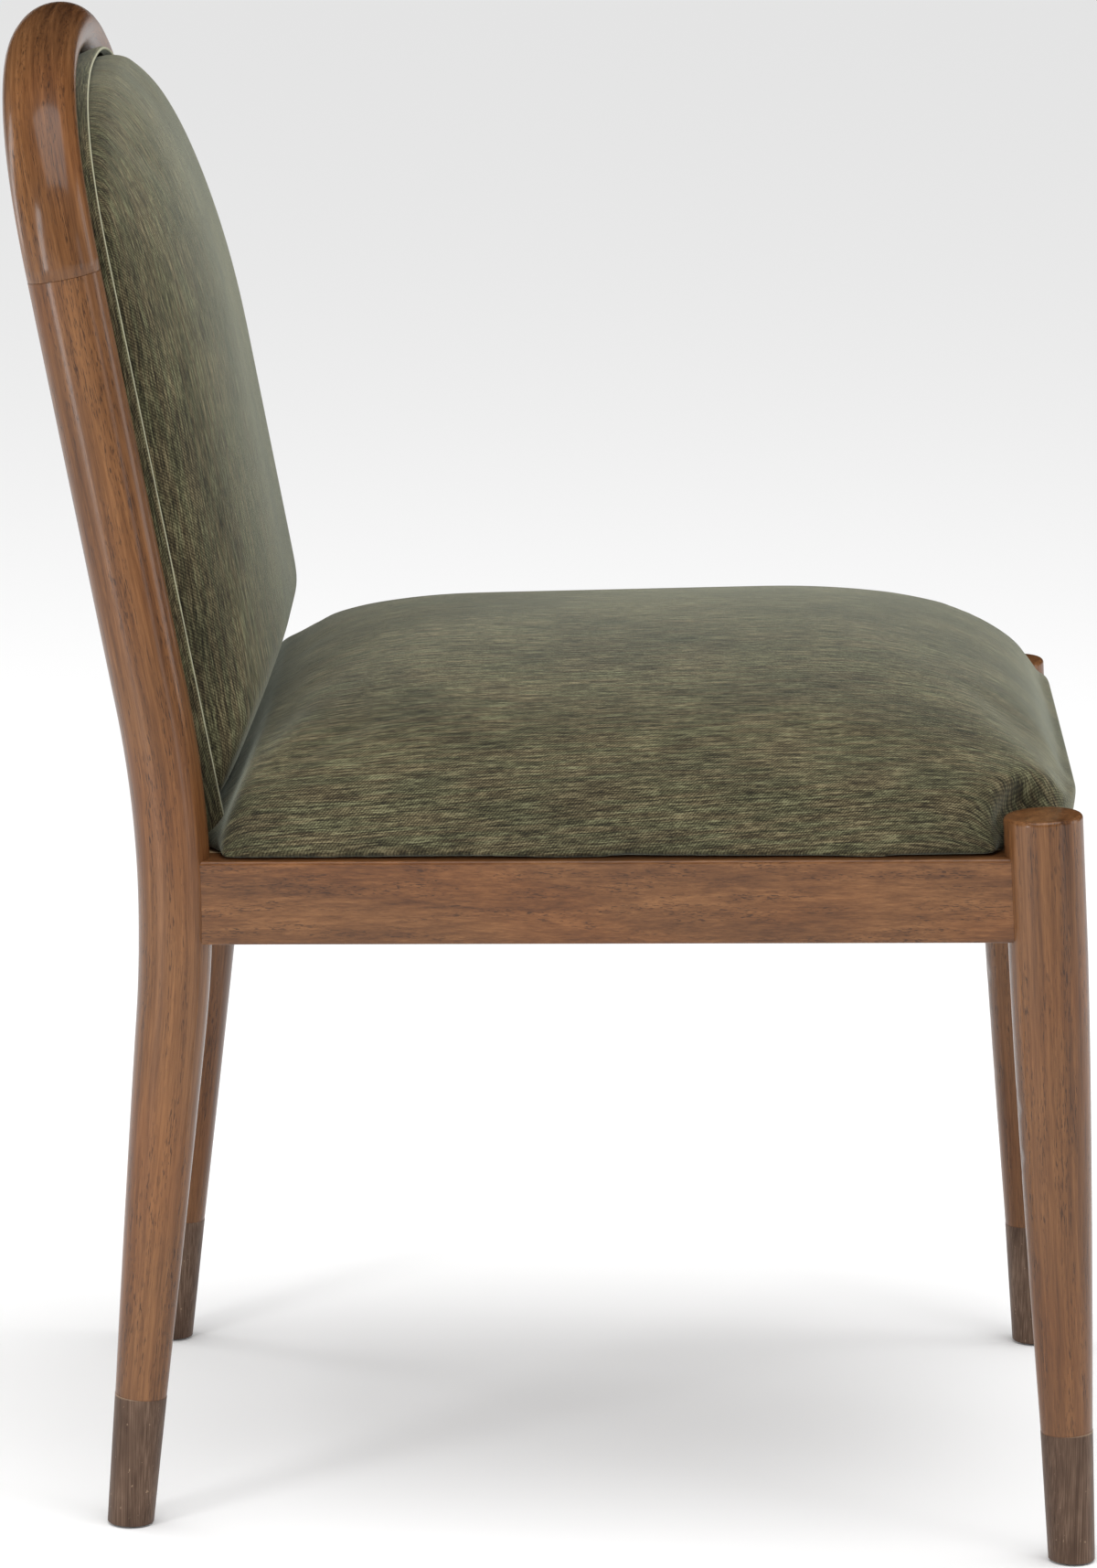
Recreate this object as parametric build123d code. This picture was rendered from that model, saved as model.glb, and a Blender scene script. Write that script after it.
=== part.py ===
from build123d import *
from math import cos, pi, radians, sin, tan
import os

# Dining chair with a round-section timber frame, a thick crowned seat and an arched, padded back.
# Millimetres. +X is the sitter's left, -Y is the front, +Z is up.
# The origin is on the floor, in the middle of the chair's footprint.

# ---------------------------------------------------------------- driving dimensions
# Front legs
front_leg_x = 221.0
front_foot_y = -302.0
front_leg_top = 428.0
front_leg_radius = 22.0
leg_top_round = 2.5

# Rear posts, each one bent piece from the floor to the spring of the arch
rear_leg_x = 190.0
rear_foot_y = 229.3
rear_leg_radius = 20.5
rear_side_radius = 16.5
knee_y = 202.3
knee_z = 386.2
bend_radius = 650.0
post_narrows_from = 430.0

# All four legs
leg_rake = 4.0
taper_from = 350.0
taper_power = 1.35

# Arch that closes the top of the back
recline = 12.0
spring_z = 711.0
arch_rise = 111.0
arch_power = 2.43
arch_steps = 7
arch_pull = 0.6

# Metal ferrules and nylon glides
ferrule_height = 76.0
ferrule_wall = 1.2
ferrule_top_radius = 14.75
ferrule_foot_radius = 13.1
ferrule_proud = 0.15
ferrule_lip = 0.8
ferrule_skirt = 4.0
glide_radius = 9.5
glide_height = 6.0
glide_proud = 1.0
glide_edge = 0.6
nail_radius = 1.2
nail_length = 22.0
nail_head_radius = 3.2
nail_head_height = 1.2

# Seat rails, square to a seat plane that rises to the front
seat_slope = 2.27
rail_top_z = 394.6
rail_height = 47.4
rail_thickness = 25.0
rail_round = 2.0
front_rail_y = -275.4
rear_rail_y = 207.0

# Joinery
dowel_radius = 4.0
dowel_length = 44.0
dowel_lead_in = 18.0
side_dowel_drops = (9.0, 31.0)
cross_dowel_drops = (20.0, 42.0)
arch_dowel_offset = 9.0
screw_radius = 2.0
screw_head_radius = 4.0
screw_head_height = 2.4

# Corner blocks
block_leg = 62.0
block_height = 36.0
block_screw_reach = 40.0
block_screw_length = 38.0
block_screw_drop = 18.0
seat_screw_length = 44.0
seat_screw_inset = 23.0

# Seat cushion
board_thickness = 12.0
board_overhang = 8.5
board_rear_y = 200.0
vent_radius = 15.0
vent_across = (-80.0, 80.0)
vent_along = (-120.0, 20.0)
cover_thickness = 1.5
cushion_side_overhang = 16.0
cushion_front_y = -300.0
cushion_rear_y = 193.0
cushion_front_corner = 80.0
cushion_rear_corner = 26.0
cushion_tuck = 6.0
cushion_wall = 24.0
cushion_height = 104.0
cushion_reach = 92.0
leg_notch_gap = 1.5
leg_notch_tilt = 35.0
leg_notch_reach = 200.0
leg_notch_step = 0.5
dust_cover_thickness = 0.8
dust_cover_corner = 74.0
dust_cover_gap = 1.0

# Back cushion, measured square to the reclined back
back_board_thickness = 12.0
back_board_foot_z = 389.5
back_gap = 1.6
back_foot_z = 404.0
back_edge = 24.5
back_crown = 77.5
back_reach = 88.0
back_foot_share = 0.5
back_screw_length = 36.0
back_screw_heights = (440.0, 555.0, 670.0)
back_screw_inset = 30.5
pocket_length = 16.0
pocket_width = 12.0
pocket_depth = 9.0

# Where the two cushions press together
contact_y = 187.0
contact_z = 402.0
contact_lean = 21.5
contact_gap = 0.5

cushion_layers = 6
crown_angle = 82.0
big = 1500.0

SIDES = {"left": 1, "right": -1}
FRONT = "front"
REAR = "rear"


# ---------------------------------------------------------------- shared frames and small solids
def seat_plane():
    """Plane of the rail tops, with Y towards the back."""
    slope = radians(seat_slope)
    return Plane(origin=(0, 0, rail_top_z), x_dir=(1, 0, 0), z_dir=(0, sin(slope), cos(slope)))


def back_plane():
    """Middle plane of the back: X across, Y up the slope, Z forwards. Its origin is at the spring."""
    lean = radians(recline)
    spring_y = knee_y + (spring_z - knee_z) * tan(lean)
    return Plane(origin=(0, spring_y, spring_z), x_dir=(1, 0, 0), z_dir=(0, -cos(lean), sin(lean)))


def back_height(height):
    """Distance up the slope of the back, from the spring, to a height above the floor."""
    return (height - spring_z) / cos(radians(recline))


def contact_plane(gap):
    """Plane where the cushions meet, facing the back and moved forwards by a gap."""
    lean = radians(contact_lean)
    normal = Vector(0, cos(lean), sin(lean))
    return Plane(origin=Vector(0, contact_y, contact_z) - normal * gap, x_dir=(1, 0, 0), z_dir=normal)


def leg_axis(end, side):
    """Plane on the floor whose Z runs up the straight part of a leg."""
    lean = radians(leg_rake if end == FRONT else -leg_rake)
    x = front_leg_x if end == FRONT else rear_leg_x
    y = front_foot_y if end == FRONT else rear_foot_y
    return Plane(origin=(side * x, y, 0), x_dir=(1, 0, 0), z_dir=(0, sin(lean), cos(lean)))


def above(solid, height):
    """The part of a solid above a height over the floor."""
    return split(solid, bisect_by=Plane.XY.offset(height), keep=Keep.TOP)


def rod(start, direction, length, radius):
    """Round bar from a point along a direction."""
    bar = Cylinder(radius, length, align=(Align.CENTER, Align.CENTER, Align.MIN))
    return Plane(origin=start, z_dir=direction) * bar


def screw(start, direction, length):
    """Countersunk wood screw whose flat head starts at a point."""
    head = Cone(screw_head_radius, screw_radius, screw_head_height, align=(Align.CENTER, Align.CENTER, Align.MIN))
    shank = Cylinder(screw_radius, length, align=(Align.CENTER, Align.CENTER, Align.MIN))
    return Plane(origin=start, z_dir=direction) * (head + shank)


def leg_radius(height, full_radius):
    """Radius of a leg: full above the taper, then a convex taper to the ferrule."""
    foot_radius = ferrule_top_radius - ferrule_proud
    if height >= taper_from:
        return full_radius
    down = (taper_from - height) / (taper_from - ferrule_height)
    return foot_radius + (full_radius - foot_radius) * (1 - down**taper_power)


def core_radius(height):
    """Radius of the wooden end that fills a ferrule."""
    outside = ferrule_foot_radius + (ferrule_top_radius - ferrule_foot_radius) * height / ferrule_height
    return outside - ferrule_wall


# ---------------------------------------------------------------- timber frame
def front_leg(side):
    """Turned front leg with a flat, softly rounded top."""
    heights = [ferrule_height + (taper_from - ferrule_height) * step / 5 for step in range(6)]
    taper = [(leg_radius(height, front_leg_radius), height) for height in heights]
    length = front_leg_top / cos(radians(leg_rake))
    below = -glide_height
    edge = Curve() + [
        Spline(*taper),
        Polyline(
            taper[-1],
            (front_leg_radius, length),
            (0, length),
            (0, below),
            (core_radius(below), below),
            (core_radius(ferrule_height), ferrule_height),
            taper[0],
        ),
    ]
    leg = revolve(Plane.XZ * make_face(edge), Axis.Z)
    top_edge = leg.edges().filter_by(GeomType.CIRCLE).sort_by(Axis.Z)[-1]
    leg = fillet(top_edge, leg_top_round)
    return above(leg_axis(FRONT, side) * leg, glide_height)


def rear_post_path(side):
    """Middle line of a rear post: straight leg, bend at the seat, straight reclined post."""
    spring = back_plane().origin
    outline = FilletPolyline((rear_foot_y, 0), (knee_y, knee_z), (spring.Y, spring.Z), radius=bend_radius)
    return Plane.YZ.offset(side * rear_leg_x) * outline


def rear_post(side):
    """Rear leg and back post in one bent piece, oval towards the top."""
    path = rear_post_path(side)
    stations = [ferrule_height, 110, 150, 200, 250, 300, taper_from, 400, 450, 500, 560, 640, path.length]
    sections = []
    for station in stations:
        along = station / path.length
        narrowing = max(0, station - post_narrows_from) / (path.length - post_narrows_from)
        narrowing = narrowing**2 * (3 - 2 * narrowing)
        fore_aft = leg_radius(station, rear_leg_radius)
        across = fore_aft - (rear_leg_radius - rear_side_radius) * narrowing
        place = Plane(origin=path @ along, x_dir=(1, 0, 0), z_dir=path % along)
        sections.append(place * Ellipse(across, fore_aft))
    core_length = ferrule_height + glide_height
    core = Cone(core_radius(-glide_height), core_radius(ferrule_height), core_length,
                align=(Align.CENTER, Align.CENTER, Align.MAX))
    core = leg_axis(REAR, side) * Pos(0, 0, ferrule_height) * core
    return above(loft(sections) + core, glide_height)


def arch_half(inset):
    """Sitter's left half of a line that runs inside the arch's middle line by an inset."""
    half_width = rear_leg_x - inset
    rise = arch_rise - inset
    points = []
    for step in range(arch_steps + 1):
        angle = pi / 2 * step / arch_steps
        across = cos(angle) ** (2 / arch_power)
        up = sin(angle) ** (2 / arch_power)
        points.append((half_width * across, rise * up))
    return Spline(*points, tangents=[(0, 1), (-1, 0)], tangent_scalars=[arch_pull, arch_pull])


def crest_arch():
    """Bent crest that joins the two posts."""
    path = back_plane() * arch_half(0)
    start = Plane(origin=path @ 0, x_dir=(1, 0, 0), z_dir=path % 0)
    half = sweep(start * Ellipse(rear_side_radius, rear_leg_radius), path=path)
    return half + mirror(half, about=Plane.YZ)


def rail_box(length):
    """Square rail with softened long edges, its top at height zero, middle of its length at the origin."""
    rail = Box(rail_thickness, length, rail_height, align=(Align.CENTER, Align.CENTER, Align.MAX))
    return fillet(rail.edges().filter_by(Axis.Y), rail_round)


def side_rail(side):
    """Side rail, from leg middle to leg middle, before it is coped to the legs."""
    run = Vector(rear_leg_x - front_leg_x, rear_rail_y - front_rail_y)
    middle = ((rear_leg_x + front_leg_x) / 2 * side, (rear_rail_y + front_rail_y) / 2, 0)
    turn = Vector(0, 1, 0).get_signed_angle(Vector(run.X * side, run.Y, 0), Vector(0, 0, 1))
    return seat_plane() * Pos(*middle) * Rot(0, 0, turn) * rail_box(run.length)


def cross_rail(end):
    """Front or rear rail, from leg middle to leg middle, before it is coped to the legs."""
    x = front_leg_x if end == FRONT else rear_leg_x
    y = front_rail_y if end == FRONT else rear_rail_y
    return seat_plane() * Pos(0, y, 0) * Rot(0, 0, 90) * rail_box(2 * x)


# ---------------------------------------------------------------- feet
def ferrule(end, side):
    """Tapered metal sleeve with a softened lip, open at both ends."""
    outside = Cone(ferrule_foot_radius, ferrule_top_radius, ferrule_height,
                   align=(Align.CENTER, Align.CENTER, Align.MIN))
    foot_radius = ferrule_foot_radius - (ferrule_top_radius - ferrule_foot_radius) / ferrule_height * ferrule_skirt
    skirt = Cone(foot_radius, ferrule_foot_radius, ferrule_skirt, align=(Align.CENTER, Align.CENTER, Align.MAX))
    reach = ferrule_height + 2 * glide_height
    core = Cone(core_radius(-glide_height), core_radius(ferrule_height + glide_height), reach,
                align=(Align.CENTER, Align.CENTER, Align.MIN))
    sleeve = outside + skirt - Pos(0, 0, -glide_height) * core
    sleeve = above(leg_axis(end, side) * sleeve, glide_proud)
    foot_edge = sleeve.edges().sort_by(Axis.Z)[:2].sort_by(SortBy.LENGTH)[-1]
    return fillet(foot_edge, ferrule_lip)


def glide(end, side):
    """Nylon disc under the leg, with a counterbore for its nail."""
    axis = leg_axis(end, side).origin
    disc = Cylinder(glide_radius, glide_height, align=(Align.CENTER, Align.CENTER, Align.MIN))
    disc = chamfer(disc.edges().filter_by(GeomType.CIRCLE).sort_by(Axis.Z)[0], glide_edge)
    head = Cylinder(nail_head_radius, 2 * nail_head_height, align=(Align.CENTER, Align.CENTER, Align.MIN))
    hole = Cylinder(nail_radius, glide_height, align=(Align.CENTER, Align.CENTER, Align.MIN))
    return Pos(axis.X, axis.Y, 0) * (disc - head - hole)


def glide_nail(end, side):
    """Nail through a glide into the end of the leg."""
    axis = leg_axis(end, side).origin
    head_z = nail_head_height
    head = Cylinder(nail_head_radius, nail_head_height, align=(Align.CENTER, Align.CENTER, Align.MIN))
    shank = Cylinder(nail_radius, nail_length, align=(Align.CENTER, Align.CENTER, Align.MIN))
    return Pos(axis.X, axis.Y, head_z) * (head + shank)


# ---------------------------------------------------------------- joinery
def leg_face_point(end, side, drop, direction):
    """Point where a rail's middle line leaves a leg, at a drop below the rail top."""
    x = front_leg_x if end == FRONT else rear_leg_x
    y = front_rail_y if end == FRONT else rear_rail_y
    radius = front_leg_radius if end == FRONT else rear_leg_radius
    middle = Vector(side * x, y, -drop)
    return middle + direction * (radius - dowel_lead_in)


def side_direction(end, side):
    """Direction along a side rail, away from a leg, in the seat plane."""
    run = Vector(side * (rear_leg_x - front_leg_x), rear_rail_y - front_rail_y, 0).normalized()
    return run if end == FRONT else -run


def side_rail_dowels():
    """Two dowels at each end of each side rail."""
    dowels = []
    for end in (FRONT, REAR):
        for side in SIDES.values():
            direction = side_direction(end, side)
            for drop in side_dowel_drops:
                start = leg_face_point(end, side, drop, direction)
                dowels.append(seat_plane() * rod(start, direction, dowel_length, dowel_radius))
    return dowels


def cross_rail_dowels():
    """Two dowels at each end of the front and rear rails, at heights between the side rails' dowels."""
    dowels = []
    for end in (FRONT, REAR):
        for side in SIDES.values():
            direction = Vector(-side, 0, 0)
            for drop in cross_dowel_drops:
                start = leg_face_point(end, side, drop, direction)
                dowels.append(seat_plane() * rod(start, direction, dowel_length, dowel_radius))
    return dowels


def arch_dowels():
    """Two dowels between each post and the arch."""
    dowels = []
    for side in SIDES.values():
        for offset in (-arch_dowel_offset, arch_dowel_offset):
            start = Vector(side * rear_leg_x, -dowel_length / 2, offset)
            dowels.append(back_plane() * rod(start, (0, 1, 0), dowel_length, dowel_radius))
    return dowels


def corner(end, side):
    """Inner corner of two rails, and the directions along the side rail and the cross rail."""
    along_side = side_direction(end, side)
    along_cross = Vector(-side, 0, 0)
    x = front_leg_x if end == FRONT else rear_leg_x
    y = front_rail_y if end == FRONT else rear_rail_y
    inwards = 1 if end == FRONT else -1
    corner_y = y + inwards * rail_thickness / 2
    slant = along_side.X / along_side.Y
    side_offset = rail_thickness / 2 / abs(along_side.Y)
    corner_x = side * x + slant * (corner_y - y) - side * side_offset
    return Vector(corner_x, corner_y, 0), along_side, along_cross


def corner_block(end, side):
    """Three-cornered block inside a rail corner, flush with the rail tops."""
    point, along_side, along_cross = corner(end, side)
    outline = Polyline(point, point + along_side * block_leg, point + along_cross * block_leg, close=True)
    return seat_plane() * extrude(make_face(outline), -block_height, dir=(0, 0, 1))


def corner_block_screws(end, side):
    """Two screws from a block's long face, one into each rail."""
    point, along_side, along_cross = corner(end, side)
    screws = []
    for along, other in ((along_side, along_cross), (along_cross, along_side)):
        foot = point + along * block_screw_reach
        depth = block_leg - block_screw_reach
        start = foot + other * (depth - screw_head_height) + Vector(0, 0, -block_screw_drop)
        screws.append(seat_plane() * screw(start, -other, block_screw_length - rail_thickness / 2))
    return screws


def seat_fixing_screw(end, side):
    """Screw up through a corner block into the seat board."""
    point, along_side, along_cross = corner(end, side)
    start = point + (along_side + along_cross) * seat_screw_inset + Vector(0, 0, -block_height)
    return seat_plane() * screw(start, (0, 0, 1), seat_screw_length)


# ---------------------------------------------------------------- seat cushion
def tapered_outline(front_half, rear_half, front_y, rear_y, front_round, rear_round):
    """Four-sided outline, wider at the front, with rounded corners."""
    points = [(-front_half, front_y), (front_half, front_y), (rear_half, rear_y), (-rear_half, rear_y)]
    face = make_face(Polyline(*points, close=True))
    face = fillet(face.vertices().sort_by(Axis.Y)[:2], front_round)
    return fillet(face.vertices().sort_by(Axis.Y)[-2:], rear_round)


def leg_clearance():
    """Posts and front legs, grown by a gap, with a hollow over each leg top that opens to the corner."""
    bars = []
    radius = front_leg_radius + leg_notch_gap
    length = front_leg_top / cos(radians(leg_rake))
    tilt = radians(leg_notch_tilt)
    for side in SIDES.values():
        leg = Cylinder(radius, length, align=(Align.CENTER, Align.CENTER, Align.MIN))
        axis = leg_axis(FRONT, side)
        top = axis.origin + axis.z_dir * length
        outwards = Vector(side, -1, 0).normalized() * sin(tilt) + Vector(0, 0, cos(tilt))
        bars.append(axis * leg)
        bars.append(rod(top - outwards * radius, outwards, leg_notch_reach, radius + leg_notch_step))
        rear = Cylinder(rear_leg_radius + leg_notch_gap, big)
        bars.append(seat_plane() * Pos(side * rear_leg_x, rear_rail_y, 0) * rear)
    return bars


def seat_board():
    """Plywood base of the seat cushion, notched round the four legs and bored for air."""
    outline = tapered_outline(
        front_leg_x + board_overhang,
        rear_leg_x + board_overhang,
        front_rail_y - board_overhang,
        board_rear_y,
        rail_round,
        rail_round,
    )
    vents = [Pos(x, y) * Circle(vent_radius) for x in vent_across for y in vent_along]
    board = seat_plane() * extrude(outline - vents, board_thickness)
    return board - leg_clearance()


def seat_dome(skin):
    """Crowned cushion shape, taken in by a skin thickness all over."""
    layers = [(0, cushion_tuck)]
    for step in range(cushion_layers + 1):
        angle = radians(crown_angle) * step / cushion_layers
        height = cushion_wall + (cushion_height - skin - cushion_wall) * sin(angle)
        layers.append((height, cushion_reach * (1 - cos(angle))))
    faces = []
    for height, inset in layers:
        take_in = inset + skin
        outline = tapered_outline(
            front_leg_x + cushion_side_overhang - take_in,
            rear_leg_x + cushion_side_overhang - take_in,
            cushion_front_y + take_in,
            cushion_rear_y - take_in,
            cushion_front_corner,
            cushion_rear_corner,
        )
        faces.append(Pos(0, 0, height) * outline)
    dome = seat_plane() * loft(faces)
    dome = split(dome, bisect_by=contact_plane(contact_gap + skin), keep=Keep.BOTTOM)
    return dome - leg_clearance()


def seat_foam(board):
    """Foam block on the seat board, inside the cover."""
    return seat_dome(cover_thickness) - board


def seat_cover(board):
    """Fabric over the foam and the edge of the board."""
    outside = seat_dome(0)
    return outside - seat_dome(cover_thickness) - board


def dust_cover():
    """Black cloth on the underside of the seat board, between the rails and the blocks."""
    corners = []
    for end in (FRONT, REAR):
        for side in (1, -1) if end == FRONT else (-1, 1):
            point, along_side, along_cross = corner(end, side)
            pair = [point + along_side * dust_cover_corner, point + along_cross * dust_cover_corner]
            turned = (side == 1) == (end == FRONT)
            corners.extend(pair if turned else pair[::-1])
    face = make_face(Polyline(*corners, close=True))
    face = offset(face, -dust_cover_gap)
    return seat_plane() * extrude(face, -dust_cover_thickness)


# ---------------------------------------------------------------- back cushion
def back_outline(inset, foot):
    """Outline of the opening inside posts and arch, taken in by an inset, down to a foot height."""
    take_in = rear_side_radius + back_gap + inset
    top = arch_half(take_in)
    half_width = rear_leg_x - take_in
    foot_half = half_width - (rear_leg_radius - rear_side_radius)
    bottom = back_height(foot)
    sides = Polyline((-half_width, 0), (-foot_half, bottom), (foot_half, bottom), (half_width, 0))
    return make_face(Curve() + [top, mirror(top, about=Plane.YZ), sides])


def back_board():
    """Plywood panel inside the posts and arch, with a pocket behind it for each fixing screw."""
    face = back_outline(cover_thickness, back_board_foot_z)
    board = back_plane() * extrude(face, -back_board_thickness)
    for pocket in back_pockets():
        board -= pocket
    return board


def back_screw_starts():
    """Where each back screw's head sits, in the plane of the back, with its direction."""
    starts = []
    for side in SIDES.values():
        for height in back_screw_heights:
            head_x = side * (rear_leg_x - back_screw_inset)
            starts.append((Vector(head_x, back_height(height), -back_board_thickness / 2), Vector(side, 0, 0)))
    return starts


def back_pockets():
    """Slots in the rear face of the back board that the screws are driven from."""
    slots = []
    for start, direction in back_screw_starts():
        slot = Box(pocket_length, pocket_width, pocket_depth, align=(Align.MAX, Align.CENTER, Align.MIN))
        slot = Rot(0, 0, 0 if direction.X > 0 else 180) * slot
        slots.append(back_plane() * Pos(start.X, start.Y, -back_board_thickness) * slot)
    return slots


def back_fixing_screws():
    """Screws from the board's pockets sideways into the posts."""
    return [back_plane() * screw(start, direction, back_screw_length) for start, direction in back_screw_starts()]


def back_dome(skin):
    """Crowned shape of the back cushion, taken in by a skin thickness on the sides and the front."""
    faces = [back_outline(skin, back_foot_z)]
    for step in range(cushion_layers + 1):
        angle = radians(crown_angle) * step / cushion_layers
        forward = back_edge + (back_crown - skin - back_edge) * sin(angle)
        inset = back_reach * (1 - cos(angle))
        foot = back_foot_z + inset * back_foot_share
        faces.append(Pos(0, 0, forward) * back_outline(skin + inset, foot + skin))
    dome = back_plane() * loft(faces)
    return split(dome, bisect_by=contact_plane(-contact_gap - skin), keep=Keep.TOP)


def back_foam():
    """Foam on the front of the back board."""
    return back_dome(cover_thickness)


def back_cover():
    """Front panel and side bands of the back cushion's fabric."""
    return back_dome(0) - back_dome(cover_thickness)


def back_outside_cover():
    """Fabric panel over the rear of the back board."""
    face = back_outline(0, back_board_foot_z)
    panel = extrude(face, -cover_thickness)
    return back_plane() * Pos(0, 0, -back_board_thickness) * panel


# ---------------------------------------------------------------- assembly
def flatten(groups):
    """One list from a list of lists."""
    return [item for group in groups for item in group]


def build():
    """All nodes of the chair by name."""
    corners = [(end, name) for end in (FRONT, REAR) for name in SIDES]
    front_legs = {name: front_leg(side) for name, side in SIDES.items()}
    posts = {name: rear_post(side) for name, side in SIDES.items()}
    legs = list(front_legs.values()) + list(posts.values())

    side_rails = {name: side_rail(side) - legs for name, side in SIDES.items()}
    cross_rails = {end: cross_rail(end) - legs for end in (FRONT, REAR)}
    rails = list(side_rails.values()) + list(cross_rails.values())
    blocks = {key: corner_block(key[0], SIDES[key[1]]) - rails - legs for key in corners}

    dowels = {"side_rail_dowels": side_rail_dowels(), "cross_rail_dowels": cross_rail_dowels()}
    crest_dowels = arch_dowels()
    block_screws = flatten(corner_block_screws(end, SIDES[name]) for end, name in corners)
    seat_screws = [seat_fixing_screw(end, SIDES[name]) for end, name in corners]
    back_screws = back_fixing_screws()
    nails = [glide_nail(end, SIDES[name]) for end, name in corners]
    rail_fixings = flatten(dowels.values()) + block_screws

    board = seat_board()
    nodes = {}
    for name in SIDES:
        nodes[f"front_leg_{name}"] = front_legs[name] - rail_fixings - nails
        nodes[f"rear_post_{name}"] = posts[name] - rail_fixings - crest_dowels - back_screws - nails
        nodes[f"side_rail_{name}"] = side_rails[name] - rail_fixings
    nodes["front_rail"] = cross_rails[FRONT] - rail_fixings
    nodes["rear_rail"] = cross_rails[REAR] - rail_fixings
    nodes["crest_arch"] = crest_arch() - crest_dowels
    for (end, name), block in blocks.items():
        nodes[f"corner_block_{end}_{name}"] = block - block_screws - seat_screws
        nodes[f"ferrule_{end}_{name}"] = ferrule(end, SIDES[name])
        nodes[f"glide_{end}_{name}"] = glide(end, SIDES[name])
    nodes["glide_nails"] = nails
    nodes["side_rail_dowels"] = dowels["side_rail_dowels"]
    nodes["cross_rail_dowels"] = dowels["cross_rail_dowels"]
    nodes["arch_dowels"] = crest_dowels
    nodes["corner_block_screws"] = block_screws
    nodes["seat_fixing_screws"] = seat_screws
    nodes["back_fixing_screws"] = back_screws
    nodes["seat_board"] = board - seat_screws
    nodes["seat_foam"] = seat_foam(board)
    nodes["seat_cover"] = seat_cover(board)
    nodes["dust_cover"] = dust_cover()
    nodes["back_board"] = back_board() - back_screws
    nodes["back_foam"] = back_foam()
    nodes["back_cover"] = back_cover()
    nodes["back_outside_cover"] = back_outside_cover()
    return nodes


def main():
    """Write one STEP file for each node."""
    os.makedirs("parts", exist_ok=True)
    for name, shape in build().items():
        solids = shape if isinstance(shape, list) else [shape]
        export_step(Compound(children=flatten(solid.solids() for solid in solids)), f"parts/{name}.step")


main()
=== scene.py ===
"""Looks of a dining chair with a bent timber frame, a thick crowned seat and an arched, padded back.

Everything is in metres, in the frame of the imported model: +X is the sitter's left, -Y the front, +Z up.
"""

import logging
from dataclasses import dataclass, field
from enum import Enum
from math import acos, cos, hypot, pi, radians, sin, sqrt, tan
from typing import Callable

import bmesh
import bpy
from mathutils import Euler, Matrix, Vector


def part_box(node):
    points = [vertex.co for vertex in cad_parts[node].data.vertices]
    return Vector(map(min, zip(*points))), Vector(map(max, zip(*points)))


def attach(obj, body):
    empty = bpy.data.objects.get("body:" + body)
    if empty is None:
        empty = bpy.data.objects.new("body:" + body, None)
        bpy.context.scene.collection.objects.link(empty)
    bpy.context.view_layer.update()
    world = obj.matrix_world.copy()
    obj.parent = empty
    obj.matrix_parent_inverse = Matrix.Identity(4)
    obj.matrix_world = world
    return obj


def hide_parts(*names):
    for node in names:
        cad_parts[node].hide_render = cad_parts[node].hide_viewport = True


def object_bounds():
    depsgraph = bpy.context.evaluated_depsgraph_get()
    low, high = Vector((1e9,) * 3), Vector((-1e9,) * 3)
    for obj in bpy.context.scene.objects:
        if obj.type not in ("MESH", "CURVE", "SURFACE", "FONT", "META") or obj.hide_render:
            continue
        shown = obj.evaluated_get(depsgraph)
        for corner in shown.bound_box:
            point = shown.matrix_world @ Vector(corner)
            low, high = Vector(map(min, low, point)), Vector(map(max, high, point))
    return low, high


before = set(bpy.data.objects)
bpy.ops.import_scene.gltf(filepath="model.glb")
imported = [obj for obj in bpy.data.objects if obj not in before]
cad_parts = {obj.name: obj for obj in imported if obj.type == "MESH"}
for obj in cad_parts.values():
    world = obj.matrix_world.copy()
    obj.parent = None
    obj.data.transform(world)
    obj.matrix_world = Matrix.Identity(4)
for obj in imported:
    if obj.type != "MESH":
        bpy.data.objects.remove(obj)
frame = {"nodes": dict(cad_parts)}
cad_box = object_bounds()

LOG = logging.getLogger("dining_chair")
BODY = "root"
MM = 0.001

Colour = tuple[float, float, float]
Socket = bpy.types.NodeSocket
Piece = bpy.types.Object


def linear(red: int, green: int, blue: int) -> Colour:
    """Linear light of a colour given as 0 to 255 display values.

    Args:
        red: Red display value.
        green: Green display value.
        blue: Blue display value.

    Returns:
        The colour that a shader reads.
    """

    def channel(value: int) -> float:
        """Linear light of one channel."""
        share = value / 255
        return share / 12.92 if share <= 0.04045 else ((share + 0.055) / 1.055) ** 2.4

    return channel(red), channel(green), channel(blue)


def clamp(value: float, low: float = 0.0, high: float = 1.0) -> float:
    """Value held between two ends."""
    return max(low, min(high, value))


def ease(share: float) -> float:
    """Smooth step from 0 to 1."""
    share = clamp(share)
    return share * share * (3 - 2 * share)


# ---- shader bench
class Coordinates(Enum):
    """Where a finish reads its pattern from."""

    OBJECT = "object"
    GRAIN = "grain"
    WEAVE = "weave"


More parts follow.
